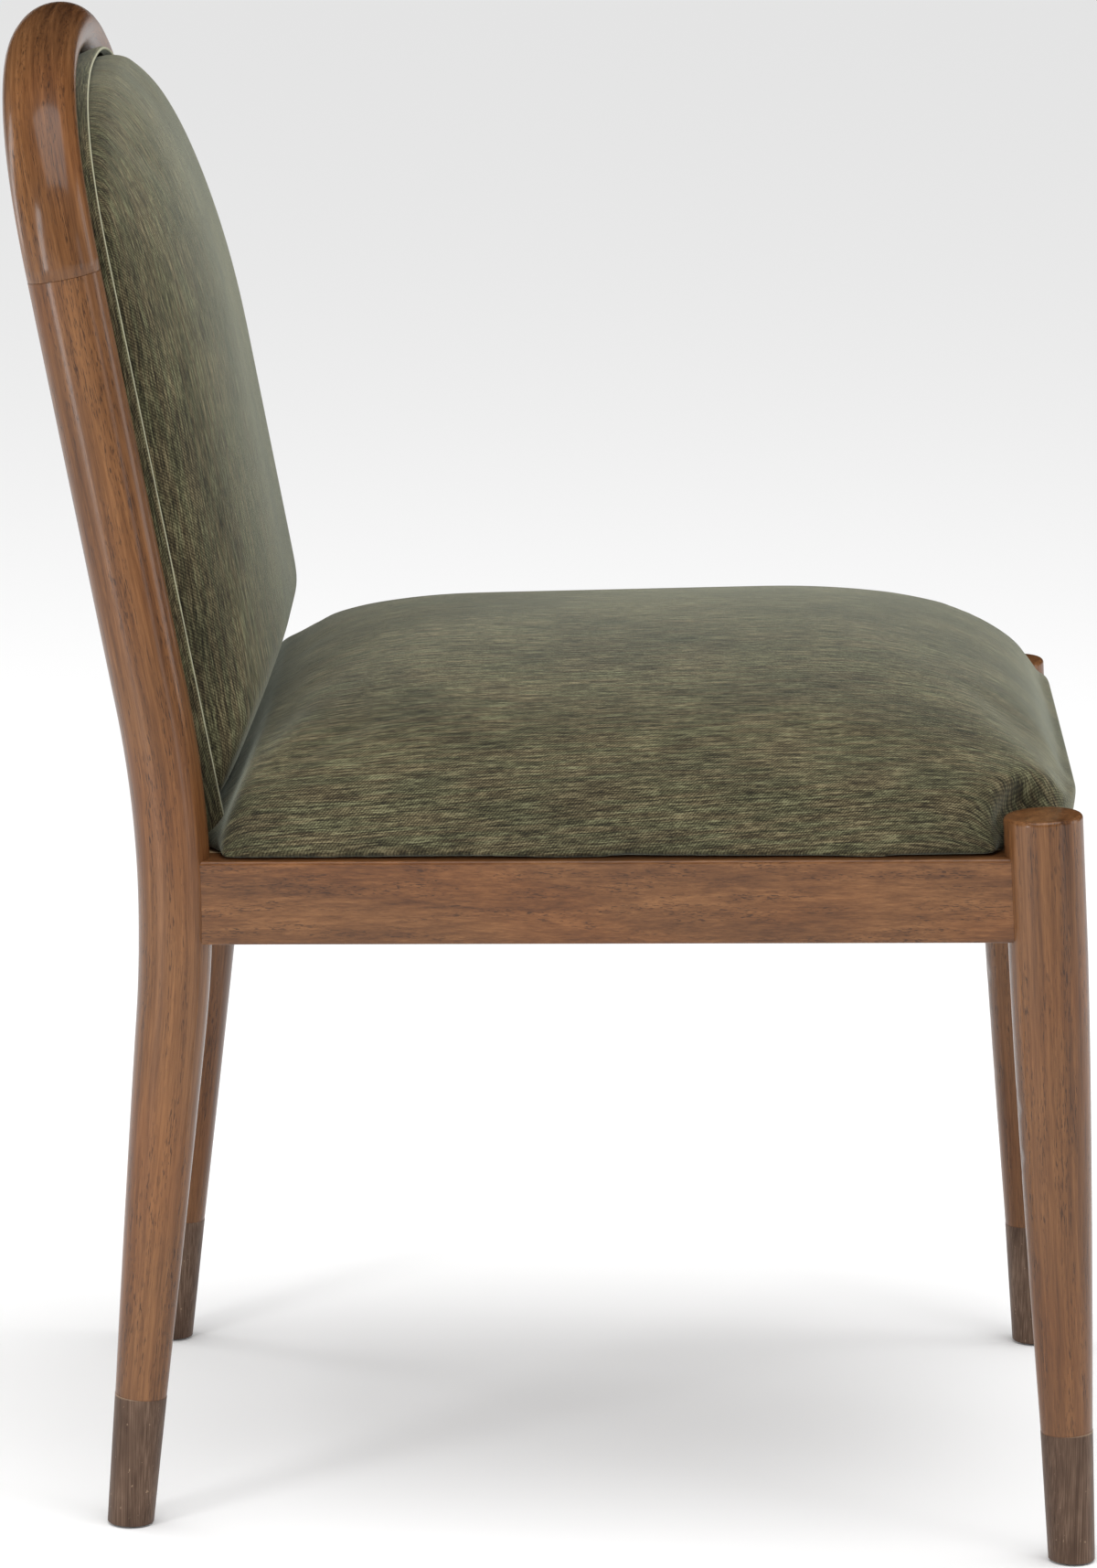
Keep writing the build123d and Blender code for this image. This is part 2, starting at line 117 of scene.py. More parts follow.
class NodeBench:
    """Short ways to add shader nodes to one material and wire them together."""

    def __init__(self, name: str) -> None:
        """Starts an empty material.

        Args:
            name: Name of the material.
        """
        self.material = bpy.data.materials.new(name)
        self.material.use_nodes = True
        self.tree = self.material.node_tree
        self.tree.nodes.clear()

    def add(self, kind: str, **settings: object) -> bpy.types.Node:
        """Adds a node.

        Args:
            kind: Node type without its ShaderNode prefix.
            **settings: Properties of the node.

        Returns:
            The new node.
        """
        node = self.tree.nodes.new("ShaderNode" + kind)
        for key, value in settings.items():
            setattr(node, key, value)
        return node

    def feed(self, target: Socket, value: object) -> None:
        """Wires a socket, or sets its value when it is a plain number or colour.

        Args:
            target: Input socket.
            value: Output socket, number, or tuple.
        """
        if isinstance(value, bpy.types.NodeSocket):
            self.tree.links.new(value, target)
        elif isinstance(value, tuple) and target.type == "RGBA":
            target.default_value = (*value, 1.0)
        else:
            target.default_value = value

    def wire(self, kind: str, out: object, given: dict[object, object], **settings: object) -> Socket:
        """Adds a node, feeds it and reads one of its outputs.

        Args:
            kind: Node type without its ShaderNode prefix.
            out: Name or number of the output.
            given: What each input gets, by its name or number.
            **settings: Properties of the node.

        Returns:
            The output socket.
        """
        node = self.add(kind, **settings)
        for key, value in given.items():
            self.feed(node.inputs[key], value)
        return node.outputs[out]

    def coordinates(self, source: Coordinates) -> Socket:
        """Pattern coordinates in metres.

        Args:
            source: Where to read them.

        Returns:
            A vector socket.
        """
        if source is Coordinates.OBJECT:
            return self.add("TexCoord").outputs["Object"]
        return self.add("Attribute", attribute_name=source.value).outputs["Vector"]

    def place(self, vector: Socket, turn: Vector, centre: Vector) -> Socket:
        """Centres a pattern on a point and turns it.

        Args:
            vector: Coordinates.
            turn: Euler turn in radians.
            centre: Point that becomes the origin.

        Returns:
            The placed coordinates.
        """
        given = {"Vector": vector, "Location": centre, "Rotation": turn}
        return self.wire("Mapping", "Vector", given, vector_type="TEXTURE")

    def stretch(self, vector: Socket, scale: Colour) -> Socket:
        """Coordinates multiplied along each axis."""
        return self.wire("VectorMath", "Vector", {0: vector, 1: scale}, operation="MULTIPLY")

    def noise(self, vector: Socket, scale: Colour, detail: float = 2.0, rough: float = 0.5) -> Socket:
        """Noise between 0 and 1.

        Args:
            vector: Coordinates in metres.
            scale: Patches to a metre along each axis.
            detail: Octaves of finer noise.
            rough: Strength of the finer octaves.

        Returns:
            A value socket.
        """
        given = {"Vector": self.stretch(vector, scale), "Scale": 1.0, "Detail": detail, "Roughness": rough}
        return self.wire("TexNoise", "Fac", given)

    def axis(self, vector: Socket, name: str) -> Socket:
        """One axis of some coordinates."""
        return self.wire("SeparateXYZ", name, {"Vector": vector})

    def math(self, operation: str, first: object, second: object = 0.0, third: object = 0.0) -> Socket:
        """One step of arithmetic."""
        return self.wire("Math", "Value", {0: first, 1: second, 2: third}, operation=operation)

    def mix_values(self, parts: list[tuple[Socket, float]]) -> Socket:
        """Weighted sum of values.

        Args:
            parts: Values with their weights.

        Returns:
            The sum.
        """
        total: object = 0.0
        for value, weight in parts:
            total = self.math("MULTIPLY_ADD", value, weight, total)
        return total

    def window(self, value: Socket, low: float, high: float, floor: float = 0.0, top: float = 1.0) -> Socket:
        """Smooth rise of a value between two edges.

        Args:
            value: What is read.
            low: Edge where the rise starts.
            high: Edge where it ends.
            floor: Result below the low edge.
            top: Result above the high edge.

        Returns:
            A value socket.
        """
        given = {"Value": value, "From Min": low, "From Max": high, "To Min": floor, "To Max": top}
        return self.wire("MapRange", "Result", given, interpolation_type="SMOOTHSTEP")

    def ramp(self, value: Socket, stops: list[tuple[float, Colour]]) -> Socket:
        """Colour by value.

        Args:
            value: What is read.
            stops: Places from 0 to 1 with their colours.

        Returns:
            A colour socket.
        """
        node = self.add("ValToRGB")
        self.feed(node.inputs["Fac"], value)
        steps = node.color_ramp.elements
        while len(steps) < len(stops):
            steps.new(0.5)
        for step, (position, colour) in zip(steps, stops):
            step.position = position
            step.color = (*colour, 1.0)
        return node.outputs["Color"]

    def tint(self, share: object, under: object, over: object, mode: str = "MIX") -> Socket:
        """Two colours put together.

        Args:
            share: How much of the second shows.
            under: First colour.
            over: Second colour.
            mode: Name of the blend.

        Returns:
            A colour socket.
        """
        return self.wire("Mix", 2, {"Factor": share, 6: under, 7: over}, data_type="RGBA", blend_type=mode)

    def bump(self, height: Socket, strength: float, depth: float) -> Socket:
        """Surface relief.

        Args:
            height: Value that is raised.
            strength: Share of the relief, 0 to 1.
            depth: Height in metres of a value of 1.

        Returns:
            A normal socket.
        """
        return self.wire("Bump", "Normal", {"Strength": strength, "Distance": depth, "Height": height})

    def surface(self, **inputs: object) -> bpy.types.Material:
        """Closes the material with one principled shader.

        Args:
            **inputs: Its inputs, with underscores for spaces.

        Returns:
            The finished material.
        """
        shader = self.add("BsdfPrincipled")
        for key, value in inputs.items():
            self.feed(shader.inputs[key.replace("_", " ")], value)
        output = self.add("OutputMaterial")
        self.tree.links.new(shader.outputs["BSDF"], output.inputs["Surface"])
        return self.material


# ---- finishes
@dataclass(frozen=True)
class WoodFinish:
    """Walnut-brown stain under a satin lacquer, on straight-grained timber."""

    dark: Colour = linear(69, 42, 24)
    middle: Colour = linear(104, 68, 39)
    light: Colour = linear(131, 90, 55)
    red: Colour = (1.0, 0.9, 0.8)
    wander: Colour = (0.012, 0.012, 0.0)
    pore: Colour = linear(44, 27, 18)
    pore_share: float = 0.72
    gloss: float = 0.4
    shine: float = 0.15
    lacquer: float = 0.45
    lacquer_gloss: float = 0.16

    def material(
        self, name: str, source: Coordinates, turn: Vector = Vector(), centre: Vector = Vector()
    ) -> bpy.types.Material:
        """Wood whose grain runs along Z of its coordinates.

        Args:
            name: Name of the material.
            source: Where the grain is read from.
            turn: Turn of the grain from the piece's own axes, in radians.
            centre: Point that the grain is centred on.

        Returns:
            The material.
        """
        bench = NodeBench(name)
        grain = bench.place(bench.coordinates(source), turn, centre)
        drift = bench.wire("TexNoise", "Color", {"Vector": bench.stretch(grain, (9, 9, 2.4)), "Scale": 1.0})
        sway = {0: drift, 1: self.wander, 2: grain}
        wavy = bench.wire("VectorMath", "Vector", sway, operation="MULTIPLY_ADD")

        figure = bench.noise(wavy, (70, 70, 2.2), 3.0, 0.55)
        streak = bench.noise(wavy, (420, 420, 11), 4.0, 0.6)
        fibre = bench.noise(wavy, (1500, 1500, 60), 2.0, 0.6)
        patch = bench.noise(grain, (16, 16, 7), 2.0, 0.5)
        tone = bench.mix_values([(figure, 0.4), (streak, 0.38), (fibre, 0.22)])
        stain = bench.ramp(tone, [(0.34, self.dark), (0.5, self.middle), (0.64, self.light)])
        blush = bench.window(patch, 0.42, 0.66, 0.0, 0.75)
        stain = bench.tint(blush, stain, self.red, "MULTIPLY")
        pores = bench.noise(wavy, (1700, 1700, 150), 1.0, 0.5)
        crowd = bench.window(bench.noise(wavy, (160, 160, 10), 2.0, 0.5), 0.4, 0.62)
        open_pores = bench.math("MULTIPLY", bench.window(pores, 0.57, 0.64), crowd)
        stain = bench.tint(bench.math("MULTIPLY", open_pores, self.pore_share), stain, self.pore)
        rough = bench.math("MULTIPLY_ADD", streak, 0.16, self.gloss - 0.08)
        height = bench.mix_values([(fibre, 0.5), (streak, 0.5), (open_pores, -0.9)])
        return bench.surface(
            Base_Color=stain,
            Roughness=rough,
            Specular_IOR_Level=self.shine,
            Coat_Weight=self.lacquer,
            Coat_Roughness=self.lacquer_gloss,
            Normal=bench.bump(height, 0.35, 0.25 * MM),
        )


@dataclass(frozen=True)
class ChenilleFinish:
    """Olive chenille with slubby yarns that run along V of the weave."""

    deep: Colour = linear(33, 29, 20)
    olive: Colour = linear(70, 65, 47)
    pale: Colour = linear(115, 110, 85)
    brown: Colour = (1.05, 0.97, 0.92)
    green: Colour = (0.95, 1.02, 0.95)
    crushed: Colour = (0.75, 0.75, 0.75)
    raised: Colour = (1.2, 1.2, 1.2)
    sheen: float = 0.36
    sheen_spread: float = 0.4
    sheen_tint: Colour = (0.80, 0.86, 0.72)
    # Pale colour of the painted highlight on a rolled seam's ridge, with how wide its edge is and how strongly
    # it shows.
    wear_and_highlight: Colour = linear(168, 165, 138)
    ridge_highlight_edge: float = 0.5 * MM
    ridge_highlight_share: float = 0.75

    def material(self, name: str, ridge_highlight_from: float = 1.0) -> bpy.types.Material:
        """Chenille on a piece's weave attribute.

        Args:
            name: Name of the material.
            ridge_highlight_from: Place across the weave from which a rolled seam's ridge is painted pale, a
                painted highlight for the light that the ridge catches.

        Returns:
            The material.
        """
        bench = NodeBench(name)
        weave = bench.coordinates(Coordinates.WEAVE)
        slub = bench.noise(weave, (960, 48, 48), 3.0, 0.62)
        yarn = bench.noise(weave, (1500, 200, 200), 2.0, 0.6)
        tuft = bench.noise(weave, (1500, 1200, 1200), 1.0, 0.5)
        crush = bench.noise(weave, (17, 8, 12), 3.0, 0.55)
        threads = {"Vector": bench.stretch(weave, (620, 620, 0)), "Scale": 0.5, "Distortion": 2.0}
        twill = bench.wire("TexWave", "Fac", threads, wave_type="BANDS", bands_direction="DIAGONAL")
        tone = bench.mix_values([(slub, 0.48), (yarn, 0.3), (tuft, 0.15), (twill, 0.07)])
        cloth = bench.ramp(tone, [(0.405, self.deep), (0.505, self.olive), (0.605, self.pale)])
        hue = bench.window(bench.noise(weave, (300, 20, 20), 2.0, 0.5), 0.38, 0.62)
        cloth = bench.tint(1.0, cloth, bench.tint(hue, self.brown, self.green), "MULTIPLY")
        nap = bench.tint(bench.window(crush, 0.34, 0.66), self.crushed, self.raised)
        cloth = bench.tint(1.0, cloth, nap, "MULTIPLY")
        # Painted highlight: past this place across the weave the cloth turns pale, standing in for the light
        # caught by the rolled seam's ridge.
        if ridge_highlight_from < 1.0:
            across = bench.axis(weave, "X")
            wear_and_highlight = bench.window(across, ridge_highlight_from, ridge_highlight_from + self.ridge_highlight_edge, 0.0, self.ridge_highlight_share)
            cloth = bench.tint(wear_and_highlight, cloth, self.wear_and_highlight)
        height = bench.mix_values([(slub, 0.3), (yarn, 0.4), (tuft, 0.3)])
        return bench.surface(
            Base_Color=cloth,
            Roughness=bench.window(yarn, 0.3, 0.7, 0.78, 0.92),
            Sheen_Weight=self.sheen,
            Sheen_Roughness=self.sheen_spread,
            Sheen_Tint=self.sheen_tint,
            Specular_IOR_Level=0.2,
            Normal=bench.bump(height, 0.55, 0.9 * MM),
        )


@dataclass(frozen=True)
class BronzeFinish:
    """Dark antique bronze, brushed lengthwise, lighter where the top edge is worn."""

    dark: Colour = linear(66, 50, 41)
    middle: Colour = linear(96, 76, 63)
    light: Colour = linear(128, 106, 90)
    # Pale worn metal of the top edge and of the chips.
    wear_and_highlight: Colour = linear(172, 146, 120)
    gloss: float = 0.46

    def material(self, name: str, top: float) -> bpy.types.Material:
        """Bronze of a ferrule.

        Args:
            name: Name of the material.
            top: Height of the ferrule's top edge.

        Returns:
            The material.
        """
        bench = NodeBench(name)
        place = bench.coordinates(Coordinates.OBJECT)
        brushed = bench.noise(place, (1500, 1500, 14), 3.0, 0.6)
        cloud = bench.noise(place, (60, 60, 24), 3.0, 0.6)
        chips = bench.window(bench.noise(place, (420, 420, 300), 2.0, 0.5), 0.7, 0.76)
        tone = bench.mix_values([(brushed, 0.6), (cloud, 0.4)])
        metal = bench.ramp(tone, [(0.34, self.dark), (0.5, self.middle), (0.66, self.light)])
        edge = bench.window(bench.axis(place, "Z"), top - 1.6 * MM, top - 0.4 * MM, 0.0, 0.55)
        metal = bench.tint(edge, metal, self.wear_and_highlight)
        metal = bench.tint(bench.math("MULTIPLY", chips, 0.5), metal, self.wear_and_highlight)
        return bench.surface(
            Base_Color=metal,
            Metallic=0.75,
            Roughness=bench.math("MULTIPLY_ADD", brushed, 0.2, self.gloss - 0.1),
            Normal=bench.bump(brushed, 0.25, 0.15 * MM),
        )


@dataclass(frozen=True)
class RawWoodFinish:
    """Unfinished pale hardwood of blocks, dowels and plywood."""

    dark: Colour = linear(168, 134, 96)
    light: Colour = linear(208, 180, 140)
    plies: float = 0.0

    def material(self, name: str, turn: Vector = Vector()) -> bpy.types.Material:
        """Pale wood, with glue lines when it is plywood.

        Args:
            name: Name of the material.
            turn: Turn of the grain from the piece's own axes, in radians.

        Returns:
            The material.
        """
        bench = NodeBench(name)
        grain = bench.place(bench.coordinates(Coordinates.OBJECT), turn, Vector())
        streak = bench.noise(grain, (260, 260, 10), 4.0, 0.6)
        fibre = bench.noise(grain, (1400, 1400, 60), 2.0, 0.6)
        tone = bench.mix_values([(streak, 0.65), (fibre, 0.35)])
        wood = bench.ramp(tone, [(0.36, self.dark), (0.62, self.light)])
        if self.plies:
            layers = {"Vector": bench.coordinates(Coordinates.OBJECT), "Scale": self.plies}
            wave = bench.wire("TexWave", "Fac", layers, wave_type="BANDS", bands_direction="Z")
            line = bench.window(wave, 0.35, 0.65, 0.3, 0.0)
            wood = bench.tint(line, wood, self.dark, "MULTIPLY")
        return bench.surface(Base_Color=wood, Roughness=0.72, Normal=bench.bump(tone, 0.3, 0.3 * MM))


@dataclass(frozen=True)
class PlainFinish:
    """Fine-grained nylon, zinc or dust cloth."""

    colour: Colour
    fleck: Colour
    rough: float
    metal: float = 0.0
    scale: float = 600.0
    relief: float = 0.2

    def material(self, name: str) -> bpy.types.Material:
        """A finely flecked surface.

        Args:
            name: Name of the material.

        Returns:
            The material.
        """
        bench = NodeBench(name)
        place = bench.coordinates(Coordinates.OBJECT)
        fine = bench.noise(place, (self.scale,) * 3, 3.0, 0.6)
        broad = bench.noise(place, (self.scale / 12,) * 3, 2.0, 0.5)
        tone = bench.mix_values([(fine, 0.7), (broad, 0.3)])
        shown = bench.ramp(tone, [(0.4, self.colour), (0.64, self.fleck)])
        return bench.surface(
            Base_Color=shown,
            Metallic=self.metal,
            Roughness=bench.math("MULTIPLY_ADD", fine, 0.2, self.rough - 0.1),
            Normal=bench.bump(fine, self.relief, 0.3 * MM),
        )


# ---- shaping
def new_piece(name: str, shape: bmesh.types.BMesh, smooth_angle: float = 35.0) -> Piece:
    """Turns a shape into an object at the origin.

    Args:
        name: Name of the piece.
        shape: Its shape, which is freed.
        smooth_angle: Edges sharper than this many degrees stay sharp.

    Returns:
        The object.
    """
    mesh = bpy.data.meshes.new(name)
    shape.to_mesh(mesh)
    shape.free()
    mesh.shade_smooth()
    mesh.set_sharp_from_angle(angle=radians(smooth_angle))
    piece = bpy.data.objects.new(name, mesh)
    bpy.context.scene.collection.objects.link(piece)
    return piece


def dress(piece: Piece, material: bpy.types.Material) -> Piece:
    """Gives every face of a piece one material.

    Args:
        piece: What is dressed.
        material: What it is dressed in.

    Returns:
        The piece.
    """
    piece.data.materials.clear()
    piece.data.materials.append(material)
    return piece


def hand_in(piece: Piece, slot: str, *nodes: str) -> Piece:
    """Rides a piece on the frame and says what it stands for.

    Args:
        piece: A finished piece.
        slot: Not used.
        *nodes: CAD nodes that it replaces.

    Returns:
        The piece.
    """
    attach(piece, BODY)
    if nodes:
        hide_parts(*nodes)
    stands_for = ", ".join(nodes) or "nothing"
    LOG.info("%s: %d faces, stands for %s", piece.name, len(piece.data.polygons), stands_for)
    return piece


def apply_modifiers(piece: Piece) -> Piece:
    """Puts the piece's modifiers into its mesh.

    Args:
        piece: The piece.

    Returns:
        The same piece, with no modifiers left.
    """
    depsgraph = bpy.context.evaluated_depsgraph_get()
    shaped = bpy.data.meshes.new_from_object(piece.evaluated_get(depsgraph))
    piece.modifiers.clear()
    piece.data = shaped
    return piece


def grow_edges(
    shape: bmesh.types.BMesh, edges: list[bmesh.types.BMEdge]
) -> tuple[list[bmesh.types.BMVert], list[bmesh.types.BMEdge]]:
    """Extrudes a line of edges, and gives the new points and edges.

    Args:
        shape: What the edges belong to.
        edges: The line.

    Returns:
        The new points and the new edges.
    """
    grown = bmesh.ops.extrude_edge_only(shape, edges=edges)["geom"]
    points = [item for item in grown if isinstance(item, bmesh.types.BMVert)]
    return points, [item for item in grown if isinstance(item, bmesh.types.BMEdge)]


def merged_copy(*nodes: str) -> bmesh.types.BMesh:
    """One shape from copies of CAD nodes, with their loose triangles joined up.

    Args:
        *nodes: Names of the nodes.

    Returns:
        The shape.
    """
    shape = bmesh.new()
    for node in nodes:
        shape.from_mesh(frame["nodes"][node].data)
    bmesh.ops.remove_doubles(shape, verts=shape.verts, dist=1e-6)
    return shape


@dataclass(frozen=True)
class Section:
    """One oval section of a bar: its middle, its two half axes, and how far along the grain it is."""

    middle: Vector
    across: Vector
    fore: Vector
    run: float

    def matrix(self) -> Matrix:
        """Transform that takes the unit circle to this section."""
        normal = self.across.cross(self.fore).normalized()
        turn = Matrix((self.across, self.fore, normal)).transposed().to_4x4()
        return Matrix.Translation(self.middle) @ turn


def sweep_bar(name: str, sections: list[Section], sides: int = 40) -> Piece:
    """Extrudes a ring through sections and closes both ends.

    Args:
        name: Name of the piece.
        sections: Sections in order along the bar.
        sides: Points round a section.

    Returns:
        The bar, with its grain attribute.
    """
    shape = bmesh.new()
    grain = shape.verts.layers.float_vector.new(Coordinates.GRAIN.value)
    bmesh.ops.create_circle(shape, cap_ends=True, segments=sides, radius=1.0)
    ring = list(shape.verts)
    edges = list(shape.edges)
    last = Matrix.Identity(4)
    for index, section in enumerate(sections):
        if index:
            ring, edges = grow_edges(shape, edges)
        place = section.matrix()
        bmesh.ops.transform(shape, matrix=place @ last.inverted(), verts=ring)
        last = place
        unplace = place.inverted()
        for vert in ring:
            local = unplace @ vert.co
            vert[grain] = (local.x * section.across.length, local.y * section.fore.length, section.run)
    bmesh.ops.edgeloop_fill(shape, edges=edges)
    bmesh.ops.recalc_face_normals(shape, faces=shape.faces)
    return new_piece(name, shape, 50)


# ---- frame sizes
@dataclass
class BackPlane:
    """The reclined plane of the back: X across, up the slope, and forwards from the posts' middle."""

    recline: float = radians(12)
    arch_rise: float = 111 * MM
    arch_power: float = 2.43
    side_radius: float = 16.5 * MM
    fore_radius: float = 20.5 * MM

    def __post_init__(self) -> None:
        """Finds the plane's directions and its origin, the middle of the line where the arch springs."""
        lean = self.recline
        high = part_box("crest_arch")[1]
        top_reach = hypot(self.side_radius * cos(lean), self.fore_radius * sin(lean))
        rear_reach = hypot(self.side_radius * sin(lean), self.fore_radius * cos(lean))
        self.half_width = high.x - self.side_radius
        self.up = Vector((0, sin(lean), cos(lean)))
        self.forward = Vector((0, -cos(lean), sin(lean)))
        self.spring = Vector((0, high.y - rear_reach, high.z - top_reach)) - self.up * self.arch_rise

    def point(self, across: float, up: float, forward: float) -> Vector:
        """Point of the chair from its place in the plane."""
        return self.spring + Vector((across, 0, 0)) + self.up * up + self.forward * forward

    def local(self, point: Vector) -> Vector:
        """Place in the plane of a point of the chair."""
        reach = point - self.spring
        return Vector((reach.x, reach.dot(self.up), reach.dot(self.forward)))

    def height(self, z: float) -> float:
        """Distance up the slope to a height over the floor."""
        return (z - self.spring.z) / cos(self.recline)

    def arch(self, angle: float, inset: float) -> tuple[float, float]:
        """Point of the arch's line at an angle from 0, at the left spring, to pi.

        Args:
            angle: Angle round the arch.
            inset: How far inside the middle line.

        Returns:
            Across and up the slope.
        """
        across = (self.half_width - inset) * abs(cos(angle)) ** (2 / self.arch_power)
        up = (self.arch_rise - inset) * abs(sin(angle)) ** (2 / self.arch_power)
        return (across if cos(angle) >= 0 else -across), up


@dataclass(frozen=True)
class PostPath:
    """Middle line of a rear post: straight leg, bend at the seat, straight reclined post."""

    foot_y: float = 229.3 * MM
    knee_y: float = 202.3 * MM
    knee_z: float = 386.2 * MM
    bend_radius: float = 650 * MM
    recline: float = radians(12)

    @property
    def leg_lean(self) -> float:
        """Angle of the leg from upright, leaning forwards as it rises."""
        return acos(self.knee_z / hypot(self.knee_z, self.foot_y - self.knee_y))

    @property
    def bend(self) -> float:
        """Angle of the bend."""
        return self.leg_lean + self.recline

    @property
    def bend_start(self) -> float:
        """Run along the line where the bend starts."""
        return hypot(self.knee_z, self.foot_y - self.knee_y) - self.bend_radius * tan(self.bend / 2)

    def at(self, run: float) -> tuple[float, float, float]:
        """Place and lean at a run along the line.

        Args:
            run: Distance from the floor along the line.

        Returns:
            Y, Z and the angle from upright, leaning backwards as it rises.
        """
        straight = min(run, self.bend_start)
        y = self.foot_y - straight * sin(self.leg_lean)
        z = straight * cos(self.leg_lean)
        turned = clamp((run - self.bend_start) / self.bend_radius, 0, self.bend)
        lean = turned - self.leg_lean
        y -= self.bend_radius * (cos(lean) - cos(self.leg_lean))
        z += self.bend_radius * (sin(lean) + sin(self.leg_lean))
        rest = max(0.0, run - self.bend_start - self.bend_radius * self.bend)
        return y + rest * sin(lean), z + rest * cos(lean), lean


@dataclass(frozen=True)
class LegTaper:
    """Radius of a leg by its run from the floor."""

    full: float
    foot: float = 14.6 * MM
    starts: float = 350 * MM
    ferrule: float = 76 * MM
    power: float = 1.35

    def radius(self, run: float) -> float:
        """Radius at a run from the floor.

        Args:
            run: Distance from the floor along the leg.

        Returns:
            The radius.
        """
        if run >= self.starts:
            return self.full
        down = (self.starts - run) / (self.starts - self.ferrule)
        return self.foot + (self.full - self.foot) * (1 - down**self.power)


# ---- timber frame
@dataclass
class TimberFrame:
    """Posts, crest arch, front legs and rails."""

    finish: WoodFinish = field(default_factory=WoodFinish)
    back: BackPlane = field(default_factory=BackPlane)
    path: PostPath = field(default_factory=PostPath)
    taper: LegTaper = field(default_factory=lambda: LegTaper(full=20.5 * MM))
    narrows_from: float = 430 * MM
    joint_ease: float = 0.3 * MM
    arch_steps: int = 84
    leg_rake: float = radians(4)
    seat_slope: float = radians(2.27)
    rail_toe_in: float = 0.064
    post_steps: int = 90
    hidden_foot: float = 0.02
    ferrule_edge: float = 0.0002
    ferrule_wall: float = 1.4 * MM
    arch_grain_from: float = 3.0

    def build(self) -> None:
        """Builds and dresses the timber."""
        bent = self.finish.material("stained_wood_bent", Coordinates.GRAIN)
        for side, name in ((1, "left"), (-1, "right")):
            post = dress(self.post(side, f"back_post_{name}"), bent)
            hand_in(post, "walnut_stained_wood", f"rear_post_{name}")
        arch = dress(self.crest("crest_bow"), bent)
        hand_in(arch, "walnut_stained_wood", "crest_arch")
        self.dress_straight()

    def post(self, side: int, name: str) -> Piece:
        """One rear post, from inside its ferrule to the arch.

        Args:
            side: 1 for the sitter's left, -1 for the right.
            name: Name of the piece.

        Returns:
            The post.
        """
        x = side * self.back.half_width
        top = self.path.bend_start + self.path.bend_radius * self.path.bend
        top += (self.back.spring.z - self.path.at(top)[1]) / cos(self.path.recline)
        ferrule = self.taper.ferrule
        edge, steps = self.ferrule_edge, self.post_steps
        runs = [ferrule - self.hidden_foot, ferrule - edge, ferrule]
        runs += [ferrule + edge + (top - self.joint_ease - ferrule) * step / steps for step in range(steps + 1)]
        runs.append(top)
        sections = []
        for index, run in enumerate(runs):
            y, z, lean = self.path.at(run)
            narrowing = ease((run - self.narrows_from) / (top - self.narrows_from))
            fore = self.taper.radius(max(run, ferrule))
            across = fore - (self.taper.full - self.back.side_radius) * narrowing
            if index < 2:
                fore = across = self.taper.foot - self.ferrule_wall
            if index == len(runs) - 1:
                fore, across = fore - self.joint_ease, across - self.joint_ease
            half_fore = Vector((0, cos(lean), -sin(lean))) * fore
            sections.append(Section(Vector((x, y, z)), Vector((across, 0, 0)), half_fore, run + side))
        return sweep_bar(name, sections)

    def crest(self, name: str) -> Piece:
        """The arch over the posts.

        Args:
            name: Name of the piece.

        Returns:
            The arch.
        """
        steps = self.arch_steps
        points = [Vector(self.back.arch(pi * step / steps, 0)) for step in range(steps + 1)]
        places, run = [], self.arch_grain_from
        for index, point in enumerate(points):
            ahead = points[min(index + 1, len(points) - 1)]
            behind = points[max(index - 1, 0)]
            way = (ahead - behind).normalized()
            if index in (0, len(points) - 1):
                way = Vector((0, 1 if index == 0 else -1))
            run += (point - behind).length
            places.append((point, way, run))
        first, last = places[0], places[-1]
        places.insert(1, (first[0] + first[1] * self.joint_ease, first[1], first[2] + self.joint_ease))
        places.insert(-1, (last[0] - last[1] * self.joint_ease, last[1], last[2] - self.joint_ease))
        sections = []
        for index, (point, way, run) in enumerate(places):
            eased = self.joint_ease if index in (0, len(places) - 1) else 0.0
            outwards = Vector((way.y, -way.x))
            half_across = self.back.side_radius - eased
            across = (Vector((1, 0, 0)) * outwards.x + self.back.up * outwards.y) * half_across
            fore = -self.back.forward * (self.back.fore_radius - eased)
            sections.append(Section(self.back.point(point.x, point.y, 0), across, fore, run))
        return sweep_bar(name, sections)

    def dress_straight(self) -> None:
        """Finishes the straight timber, whose shape is the frame's own."""
        for side, name in ((1, "left"), (-1, "right")):
            leg = f"front_leg_{name}"
            low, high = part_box(leg)
            centre = Vector(((low.x + high.x) / 2, low.y, 0))
            self.dress_node(leg, Vector((-self.leg_rake, 0, 0)), centre)
            rail = f"side_rail_{name}"
            low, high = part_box(rail)
            turn = Vector((pi / 2 - self.seat_slope, 0, side * -self.rail_toe_in))
            self.dress_node(rail, turn, (low + high) / 2)
        for rail in ("front_rail", "rear_rail"):
            low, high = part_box(rail)
            self.dress_node(rail, Vector((0, pi / 2, 0)), (low + high) / 2)

    def dress_node(self, name: str, turn: Vector, centre: Vector) -> None:
        """Finishes one straight piece, with its grain turned and centred."""
        wood = self.finish.material(f"stained_wood_{name}", Coordinates.OBJECT, turn, centre)
        dress(frame["nodes"][name], wood)


# ---- cushions
@dataclass(frozen=True)
class Stuffing:
    """How a pad is blown up by cloth simulation."""

    voxel: float = 6 * MM
    pressure: float = 4.0
    frames: int = 20
    reach: float = 2.5 * MM
    smoothing: int = 4
    settling: int = 5
    quality: int = 5


